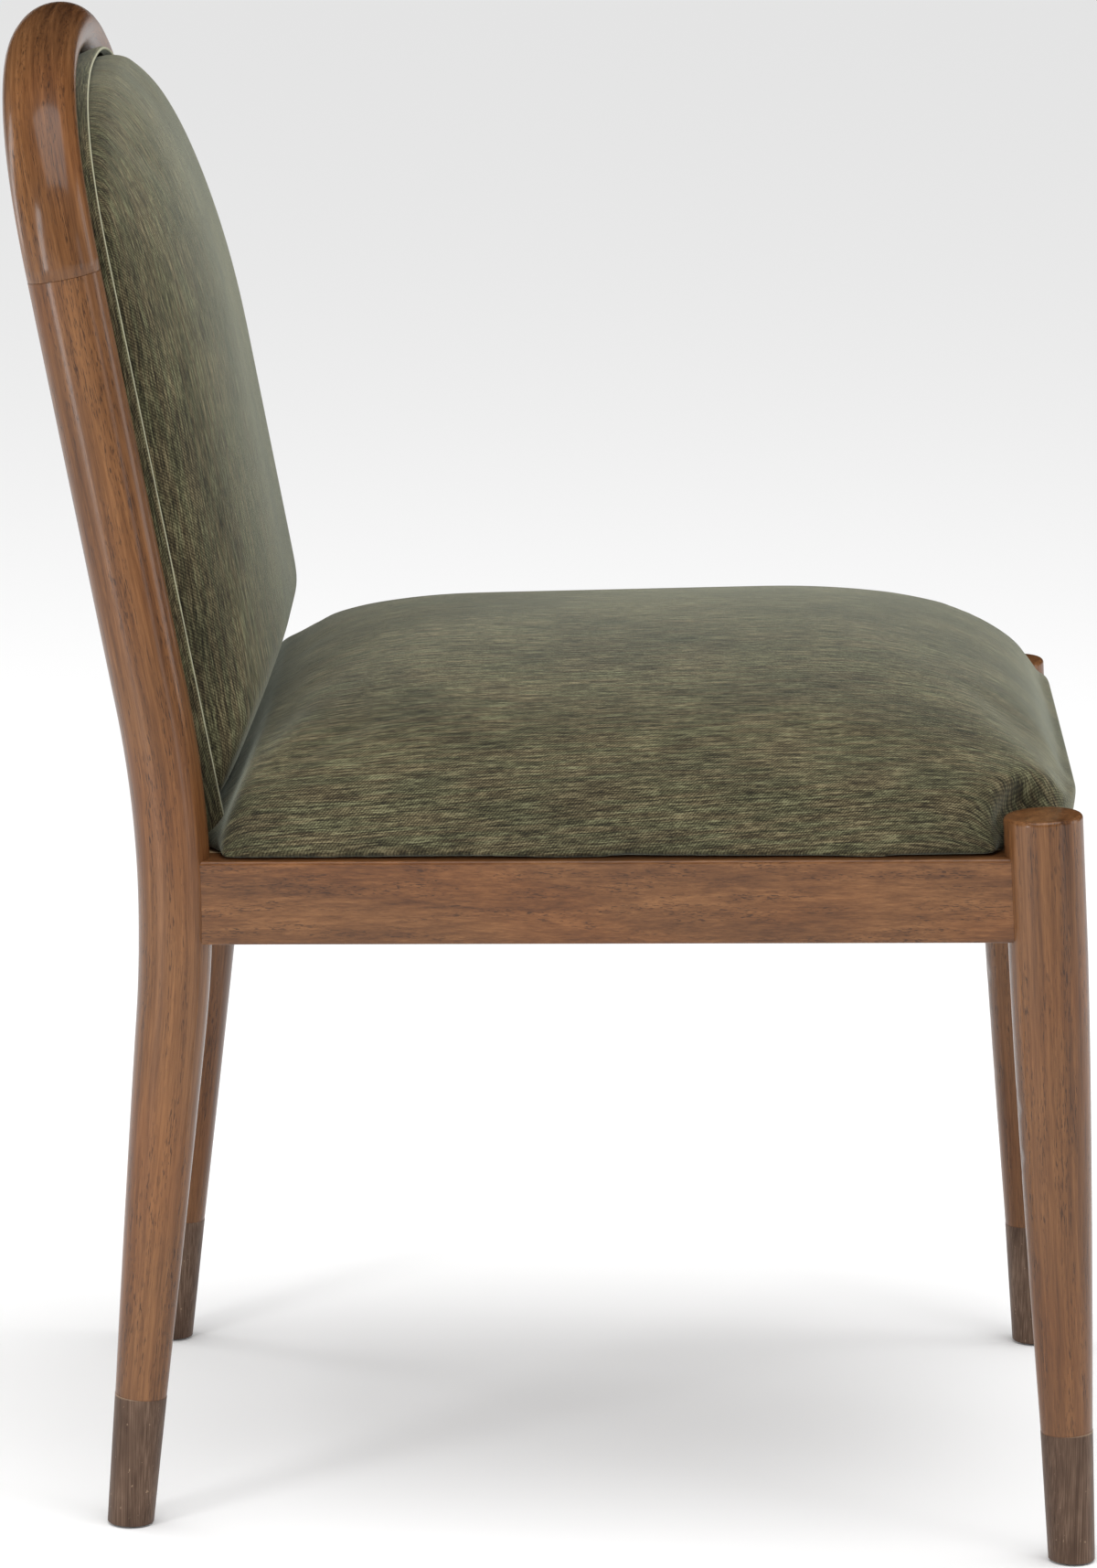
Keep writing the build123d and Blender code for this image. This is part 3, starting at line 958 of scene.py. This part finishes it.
def smooth_loose(shape: bmesh.types.BMesh, held: Callable[[Vector], bool], times: int) -> None:
    """Smooths the points that aren't held, a number of times.

    Args:
        shape: What is smoothed.
        held: Says whether a point is fixed down.
        times: How often.
    """
    for _ in range(times):
        loose = [vert for vert in shape.verts if not held(vert.co)]
        bmesh.ops.smooth_vert(shape, verts=loose, factor=0.5, use_axis_x=True, use_axis_y=True, use_axis_z=True)


def stuff(
    piece: Piece,
    how: Stuffing,
    crown: Callable[[Vector], Vector],
    held: Callable[[Vector], bool],
    keep: Callable[[Vector], Vector],
) -> Piece:
    """Blows a pad up, holds how far each point may move, and rounds it once more.

    Args:
        piece: Pad, slightly smaller than it will be.
        how: Settings.
        crown: Moves a point onto the pad's crowned start shape.
        held: Says whether a point is fixed down.
        keep: Brings a point back inside the room that the pad has.

    Returns:
        The pad.
    """
    remesh = piece.modifiers.new("even", "REMESH")
    remesh.mode = "VOXEL"
    remesh.voxel_size = how.voxel
    apply_modifiers(piece)
    shape = bmesh.new()
    shape.from_mesh(piece.data)
    for vert in shape.verts:
        vert.co = crown(vert.co)
    smooth_loose(shape, held, how.smoothing)
    shape.to_mesh(piece.data)
    shape.free()
    start = [vert.co.copy() for vert in piece.data.vertices]
    pins = piece.vertex_groups.new(name="held")
    pins.add([vert.index for vert in piece.data.vertices if held(vert.co)], 1.0, "REPLACE")
    cloth = piece.modifiers.new("stuffing", "CLOTH")
    cloth.settings.use_pressure = True
    cloth.settings.uniform_pressure_force = how.pressure
    cloth.settings.vertex_group_mass = "held"
    cloth.settings.effector_weights.gravity = 0
    cloth.settings.quality = how.quality
    scene = bpy.context.scene
    for step in range(1, how.frames + 1):
        scene.frame_set(step)
    apply_modifiers(piece)
    scene.frame_set(1)
    for vert, first in zip(piece.data.vertices, start):
        move = vert.co - first
        if move.length > how.reach:
            vert.co = first + move * (how.reach / move.length)
    piece.vertex_groups.clear()
    shape = bmesh.new()
    shape.from_mesh(piece.data)
    smooth_loose(shape, held, how.settling)
    for vert in shape.verts:
        vert.co = keep(vert.co)
    shape.to_mesh(piece.data)
    shape.free()
    round_off = piece.modifiers.new("round", "SUBSURF")
    round_off.levels = round_off.render_levels = 1
    apply_modifiers(piece)
    for vert in piece.data.vertices:
        vert.co = keep(vert.co)
    piece.data.shade_smooth()
    return piece


def lay_weave(piece: Piece, unfold: Callable[[Vector], Vector]) -> None:
    """Writes the cloth's own coordinates on a piece.

    Args:
        piece: A finished cloth piece.
        unfold: Place on the flat cloth of a point of the piece.
    """
    weave = piece.data.attributes.new(Coordinates.WEAVE.value, "FLOAT_VECTOR", "POINT")
    for vert in piece.data.vertices:
        weave.data[vert.index].vector = unfold(vert.co)


def shoulder_excess(drop: float, radius: float) -> float:
    """Cloth used by a rounded shoulder beyond its plan width.

    Args:
        drop: How far below the crown.
        radius: Radius of the shoulder.

    Returns:
        Extra length of cloth.
    """
    share = clamp(drop / radius)
    turned = acos(1 - share)
    return radius * (turned - sin(turned)) + max(0.0, drop - radius)


@dataclass
class SeatCushion:
    """Thick crowned seat, in one form with the plywood board under it."""

    finish: ChenilleFinish
    stuffing: Stuffing = field(default_factory=Stuffing)
    slope: float = radians(2.27)
    shoulder: float = 84 * MM
    wall: float = 24 * MM
    rise: float = 74.5 * MM
    front_reach: float = 165 * MM
    rear_reach: float = 150 * MM
    front_step: float = 12 * MM
    rear_step: float = 10 * MM
    side_step: float = 6 * MM
    held_under: float = 3 * MM
    rail_gap: float = 0.3 * MM
    narrowing: float = 0.13
    corner_fill: float = 0.18

    def build(self) -> Piece:
        """Builds and dresses the seat.

        Returns:
            The seat cushion.
        """
        self.low, self.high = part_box("seat_cover")
        normal = Vector((0, sin(self.slope), cos(self.slope)))
        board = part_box("seat_board")
        self.base = Vector((0, board[1].y, board[0].z)).dot(normal)
        self.normal = normal
        self.crown = self.base + self.wall + self.rise
        piece = new_piece("seat_cushion", merged_copy("seat_foam", "seat_board"))
        stuff(piece, self.stuffing, self.crowned, self.on_board, self.inside)
        lay_weave(piece, self.unfold)
        dress(piece, self.finish.material("olive_chenille_seat"))
        hand_in(piece, "olive_fabric", "seat_cover", "seat_foam", "seat_board")
        return piece

    def half_at(self, y: float) -> float:
        """Half width of the seat at a place from front to back."""
        share = (y - self.low.y) / (self.high.y - self.low.y)
        return self.high.x * (1 - self.narrowing * share)

    def crowned(self, point: Vector) -> Vector:
        """Brings a point down to a crown that falls off to the sides, the front and the back.

        Args:
            point: A point of the cushion.

        Returns:
            Its place on or under the crown.
        """
        height = point.dot(self.normal) - self.base
        across = sqrt(max(0.0, 1 - (point.x / (self.half_at(point.y) + self.side_step)) ** 2))
        front = clamp((point.y - self.low.y - self.front_step) / self.front_reach)
        rear = clamp((self.high.y + self.rear_step - point.y) / self.rear_reach)
        along = sqrt(1 - (1 - front) ** 2) * sqrt(1 - (1 - rear) ** 2)
        fall = across * along + self.corner_fill * (min(across, along) - across * along)
        top = self.wall + self.rise * fall
        return point - self.normal * max(0.0, height - top)

    def on_board(self, point: Vector) -> bool:
        """Whether a point lies on the underside of the board."""
        return point.dot(self.normal) < self.base + self.held_under

    def inside(self, point: Vector) -> Vector:
        """Keeps a point above the rails.

        Args:
            point: A point of the cushion.

        Returns:
            The nearest place above the rails.
        """
        lift = self.base + self.rail_gap - point.dot(self.normal)
        if lift > 0:
            point = point + self.normal * lift
        return point

    def unfold(self, point: Vector) -> Vector:
        """Place on the flat cloth, which runs from back to front and drops over the sides and the front.

        Args:
            point: A point of the cushion.

        Returns:
            Its place on the cloth, across and along.
        """
        drop = shoulder_excess(max(0.0, self.crown - point.dot(self.normal)), self.shoulder)
        sideways = (abs(point.x) / self.half_at(point.y)) ** 3
        forwards = (min(point.y, 0.0) / self.low.y) ** 3
        reach = hypot(sideways, forwards) or 1.0
        side = 1 if point.x > 0 else -1
        return Vector((point.x + side * drop * sideways / reach, point.y - drop * forwards / reach, 0))


@dataclass
class BackCushion:
    """Crowned back panel, its side band with a rolled seam, and the cloth panel behind."""

    finish: ChenilleFinish
    plane: BackPlane = field(default_factory=BackPlane)
    stuffing: Stuffing = field(default_factory=lambda: Stuffing(voxel=5 * MM, reach=1.5 * MM))
    gap: float = 1.6 * MM
    shoulder: float = 70 * MM
    band_room: float = 1.2 * MM
    flare: float = 3.2 * MM
    flare_from: float = 5 * MM
    flare_over: float = 12 * MM
    arch_blend: float = 40 * MM
    held_under: float = 3 * MM
    board_gap: float = 0.2 * MM
    # Place forwards, on the side band, from which its rolled ridge gets a painted highlight.
    ridge_highlight_start: float = 23.9 * MM
    edge: float = 24.0 * MM
    crown_rise: float = 48.5 * MM
    crown_reach: float = 138 * MM
    arch_reach: float = 170 * MM
    board: float = 12 * MM
    foot_take_in: float = 4 * MM
    arch_steps: int = 96
    side_steps: int = 30
    seam: tuple[tuple[float, float], ...] = (
        (-1.3, 0.0),
        (-1.5, 6.0),
        (-2.8, 12.0),
        (-4.2, 17.5),
        (-4.6, 22.6),
        (-4.4, 23.7),
        (-3.8, 24.5),
        (-3.1, 24.7),
        (-2.5, 24.2),
        (-2.2, 23.1),
        (-2.0, 20.0),
    )
    rear_steps: tuple[tuple[float, float], ...] = (
        (-1.3, 0.3),
        (-1.3, -6.0),
        (-1.2, -11.0),
        (-0.6, -12.8),
        (1.0, -13.6),
        (4.0, -13.9),
        (14.0, -14.3),
        (40.0, -14.8),
    )

    def build(self) -> None:
        """Builds and dresses the back."""
        self.crown = self.edge + self.crown_rise
        self.half = self.plane.half_width - self.plane.side_radius - self.gap
        self.rise = self.plane.arch_rise - self.plane.side_radius - self.gap
        self.foot = self.plane.height(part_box("back_board")[0].z) + self.board * tan(self.plane.recline)
        cloth = self.finish.material("olive_chenille_back")
        pad = new_piece("back_cushion", merged_copy("back_foam"))
        stuff(pad, self.stuffing, self.crowned, self.on_board, self.inside)
        lay_weave(pad, self.unfold)
        dress(pad, cloth)
        hand_in(pad, "olive_fabric", "back_cover", "back_foam")
        band = self.strip("back_side_band", self.seam, closed=False)
        # The band's cloth carries a painted highlight along its rolled ridge.
        rolled = self.finish.material("olive_chenille_band", self.ridge_highlight_start)
        hand_in(dress(band, rolled), "olive_fabric")
        panel = self.strip("back_outside_panel", self.rear_steps, closed=True)
        hand_in(dress(panel, cloth), "olive_fabric", "back_outside_cover")

    def room(self, forward: float) -> float:
        """How far the pad stays inside the opening at a place forwards."""
        return self.band_room - self.flare * self.flared(forward)

    def flared(self, forward: float) -> float:
        """Share of the flare that is reached at a place forwards."""
        return ease((forward - self.flare_from) / self.flare_over)

    def crowned(self, point: Vector) -> Vector:
        """Flares a point over the posts' rounding, and brings it back to a crown that falls off to the rim.

        Args:
            point: A point of the pad.

        Returns:
            Its place on or behind the crown.
        """
        place = self.plane.local(point)
        share = clamp(abs(place.x) / self.half)
        side = clamp((self.half - abs(place.x)) / self.crown_reach)
        arch = self.rise * (1 - share**self.plane.arch_power) ** (1 / self.plane.arch_power)
        top = clamp((arch - place.y) / self.arch_reach)
        fall = sqrt(1 - (1 - side) ** 2) * sqrt(1 - (1 - top) ** 2)
        place.z = min(place.z, self.edge + self.crown_rise * fall)
        spread = self.flare * self.flared(place.z)
        place.x *= 1 + spread / self.half
        place.y *= 1 + spread / self.rise * ease((place.y + self.arch_blend) / (2 * self.arch_blend))
        return self.plane.point(place.x, place.y, place.z)

    def on_board(self, point: Vector) -> bool:
        """Whether a point lies on the board."""
        return self.plane.local(point).z < self.held_under

    def inside(self, point: Vector) -> Vector:
        """Keeps a point in front of the board and inside the side band.

        Args:
            point: A point of the pad.

        Returns:
            The nearest place inside.
        """
        place = self.plane.local(point)
        place.z = max(place.z, self.board_gap)
        room = self.room(place.z)
        half, rise = self.half - room, self.rise - room
        if place.y > 0:
            power = self.plane.arch_power
            level = (abs(place.x) / half) ** power + (place.y / rise) ** power
            if level > 1:
                place.x *= level ** (-1 / power)
                place.y *= level ** (-1 / power)
        else:
            limit = half - self.foot_take_in * clamp(place.y / self.foot)
            place.x = clamp(place.x, -limit, limit)
        return self.plane.point(place.x, place.y, place.z)

    def unfold(self, point: Vector) -> Vector:
        """Place on the flat cloth, which runs up the back and folds over its sides and its arch.

        Args:
            point: A point of the pad.

        Returns:
            Its place on the cloth, across and up.
        """
        place = self.plane.local(point)
        drop = shoulder_excess(max(0.0, self.crown - place.z), self.shoulder)
        power = self.plane.arch_power - 1
        sideways = (abs(place.x) / self.half) ** power / self.half
        upwards = (max(place.y, 0.0) / self.rise) ** power / self.rise
        reach = hypot(sideways, upwards) or 1.0
        side = 1 if place.x > 0 else -1
        return Vector((place.x + side * drop * sideways / reach, place.y + drop * upwards / reach, 0))

    def rim(self, inset: float) -> list[Vector]:
        """Line inside the posts and the arch, from the left foot over the top to the right foot.

        Args:
            inset: How far inside the opening.

        Returns:
            Places across and up the slope.
        """
        half = self.half - inset
        foot = Vector((half - self.foot_take_in, self.foot + inset))
        spring = Vector((half, 0))
        side = [foot.lerp(spring, step / self.side_steps) for step in range(self.side_steps)]
        take_in = self.plane.side_radius + self.gap + inset
        steps = self.arch_steps
        arch = [Vector(self.plane.arch(pi * step / steps, take_in)) for step in range(steps + 1)]
        return side + arch + [Vector((-place.x, place.y)) for place in reversed(side)]

    def strip(self, name: str, rows: tuple[tuple[float, float], ...], closed: bool) -> Piece:
        """Cloth that follows the rim, row by row.

        Args:
            name: Name of the piece.
            rows: Inset and place forwards of each row, in millimetres.
            closed: Whether it also runs along the foot and fills the middle.

        Returns:
            The strip, with its weave.
        """
        shape = bmesh.new()
        order = shape.verts.layers.int.new("order")
        weave = shape.verts.layers.float_vector.new(Coordinates.WEAVE.value)
        line = self.rim(0.0)
        bmesh.ops.create_vert(shape, co=Vector((line[0].x, line[0].y, 0)))
        tip = list(shape.verts)[0]
        first = tip
        edges = []
        for index, place in enumerate(line[1:], 1):
            grown = bmesh.ops.extrude_vert_indiv(shape, verts=[tip])
            tip = grown["verts"][0]
            tip.co = Vector((place.x, place.y, 0))
            tip[order] = index
            edges.extend(grown["edges"])
        if closed:
            edges.append(shape.edges.new((tip, first)))
        row = list(shape.verts)
        for step, (inset, forward) in enumerate(rows):
            if step:
                row, edges = grow_edges(shape, edges)
            places = self.rim(inset * MM)
            run = 0.0
            runs = [0.0]
            for behind, ahead in zip(places, places[1:]):
                run += (ahead - behind).length
                runs.append(run)
            for vert in row:
                place = places[vert[order]]
                vert[weave] = (place.x, place.y, 0) if closed else (forward * MM, runs[vert[order]], 0)
                vert.co = self.plane.point(place.x, place.y, forward * MM)
        if closed:
            bmesh.ops.edgeloop_fill(shape, edges=edges)
        bmesh.ops.recalc_face_normals(shape, faces=shape.faces)
        shape.faces.ensure_lookup_table()
        probe = shape.faces[0]
        outwards = probe.calc_center_median() - self.plane.point(0, self.foot / 2, 0)
        if probe.normal.dot(outwards) < 0:
            bmesh.ops.reverse_faces(shape, faces=shape.faces)
        return new_piece(name, shape, 60)


@dataclass
class DustCloth:
    """Black cloth stapled under the seat, with a turned hem."""

    hem: float = 9 * MM
    hem_step: float = 0.3 * MM
    sag_reach: float = 70 * MM
    sag: float = 1.5 * MM

    def build(self) -> Piece:
        """Builds and dresses the cloth.

        Returns:
            The cloth.
        """
        shape = merged_copy("dust_cover")
        upper = [face for face in shape.faces if face.normal.z > -0.9]
        bmesh.ops.delete(shape, geom=upper, context="FACES")
        cloth = bmesh.ops.dissolve_faces(shape, faces=shape.faces[:])["region"]
        bmesh.ops.inset_individual(shape, faces=cloth, thickness=self.hem, depth=-self.hem_step)
        bmesh.ops.inset_individual(shape, faces=cloth, thickness=self.sag_reach, depth=self.sag)
        piece = new_piece("seat_dust_cloth", shape)
        finish = PlainFinish(linear(24, 24, 25), linear(44, 44, 45), 0.9)
        hand_in(dress(piece, finish.material("dust_cloth")), "dust_cloth", "dust_cover")
        return piece


# ---- hardware
@dataclass
class Hardware:
    """Ferrules, glides, nails, screws, blocks, dowels and board, whose shapes are the frame's own."""

    bronze: BronzeFinish = field(default_factory=BronzeFinish)

    def build(self) -> None:
        """Dresses the small parts."""
        nodes = frame["nodes"]
        raw = RawWoodFinish().material("raw_hardwood", Vector((0, pi / 2, 0)))
        layered = RawWoodFinish(dark=linear(150, 118, 84), plies=120.0)
        ply = layered.material("plywood_board", Vector((pi / 2, 0, 0)))
        nylon = PlainFinish(linear(22, 22, 23), linear(38, 38, 39), 0.5).material("black_nylon_disc")
        zinc = PlainFinish(linear(150, 150, 152), linear(196, 197, 200), 0.35, 1.0).material("zinc_plate")
        for name, node in nodes.items():
            if name.startswith("ferrule"):
                dress(node, self.bronze.material(f"antique_bronze_{name}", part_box(name)[1].z))
            elif name.startswith("glide_nails") or "screws" in name:
                dress(node, zinc)
            elif name.startswith("glide"):
                dress(node, nylon)
            elif name.startswith("corner_block") or "dowels" in name:
                dress(node, raw)
            elif name.endswith("_board"):
                dress(node, ply)


# ---- studio
@dataclass
class Studio:
    """Pale floor, soft lights and the side camera."""

    lens: float = 178.4
    camera_place: Vector = field(default_factory=lambda: Vector((-4.4039, -0.0363, 1.3329)))
    camera_pitch: float = radians(12.059)
    camera_yaw: float = radians(0.504)
    camera_roll: float = radians(1.118)
    floor_size: float = 60.0
    world_strength: float = 0.82

    def build(self) -> None:
        """Builds the studio."""
        self.make_floor()
        self.make_world()
        middle = (cad_box[0] + cad_box[1]) / 2
        self.soft_box("overhead", Vector((-0.6, -0.2, 2.9)), middle, 2.4, 2.4, 48)
        self.soft_box("near_rear", Vector((-1.8, 1.6, 0.78)), middle, 0.45, 1.5, 18)
        self.soft_box("near_front", Vector((-1.7, -2.1, 0.78)), middle, 0.5, 1.5, 4)
        self.soft_box("far_rear", Vector((1.2, 2.6, 0.9)), middle, 0.8, 1.7, 14)
        self.soft_box("far_front", Vector((0.4, -3.0, 1.2)), middle, 1.0, 2.2, 16)
        self.make_camera()
        bpy.context.scene.view_settings.view_transform = "Standard"

    def make_floor(self) -> None:
        """Lays a pale floor."""
        shape = bmesh.new()
        bmesh.ops.create_grid(shape, x_segments=1, y_segments=1, size=self.floor_size / 2)
        floor = new_piece("studio_floor", shape)
        bench = NodeBench("pale_floor")
        dress(floor, bench.surface(Base_Color=(0.93, 0.93, 0.93), Roughness=0.9, Specular_IOR_Level=0.0))

    def make_world(self) -> None:
        """Fills the studio with even light."""
        world = bpy.data.worlds.new("studio_air")
        world.use_nodes = True
        background = world.node_tree.nodes["Background"]
        background.inputs["Color"].default_value = (1.0, 1.0, 1.0, 1.0)
        background.inputs["Strength"].default_value = self.world_strength
        world.cycles_visibility.glossy = False
        bpy.context.scene.world = world

    def soft_box(
        self, name: str, place: Vector, target: Vector, width: float, height: float, power: float
    ) -> None:
        """Hangs a soft light that faces a point.

        Args:
            name: Name of the light.
            place: Where it hangs.
            target: What it faces.
            width: Width in metres.
            height: Height in metres.
            power: Power in watts.
        """
        light = bpy.data.lights.new(name, "AREA")
        light.shape = "RECTANGLE"
        light.size, light.size_y, light.energy = width, height, power
        lamp = bpy.data.objects.new(name, light)
        lamp.location = place
        lamp.visible_camera = False
        lamp.rotation_euler = (target - place).to_track_quat("-Z", "Y").to_euler()
        bpy.context.scene.collection.objects.link(lamp)

    def make_camera(self) -> None:
        """Stands the camera at the chair's right-hand side."""
        camera = bpy.data.objects.new("side_camera", bpy.data.cameras.new("side_camera"))
        camera.data.lens = self.lens
        camera.data.clip_end = 200.0
        aim = Euler((pi / 2 - self.camera_pitch, 0, self.camera_yaw - pi / 2)).to_matrix().to_4x4()
        roll = Matrix.Rotation(self.camera_roll, 4, "Z")
        camera.matrix_world = Matrix.Translation(self.camera_place) @ aim @ roll
        bpy.context.scene.collection.objects.link(camera)
        bpy.context.scene.camera = camera


def main() -> None:
    """Builds the chair in order."""
    logging.basicConfig(level=logging.INFO, format="%(message)s")
    Studio().build()
    TimberFrame().build()
    Hardware().build()
    chenille = ChenilleFinish()
    SeatCushion(chenille).build()
    BackCushion(chenille).build()
    DustCloth().build()


if __name__ == "__main__":
    main()
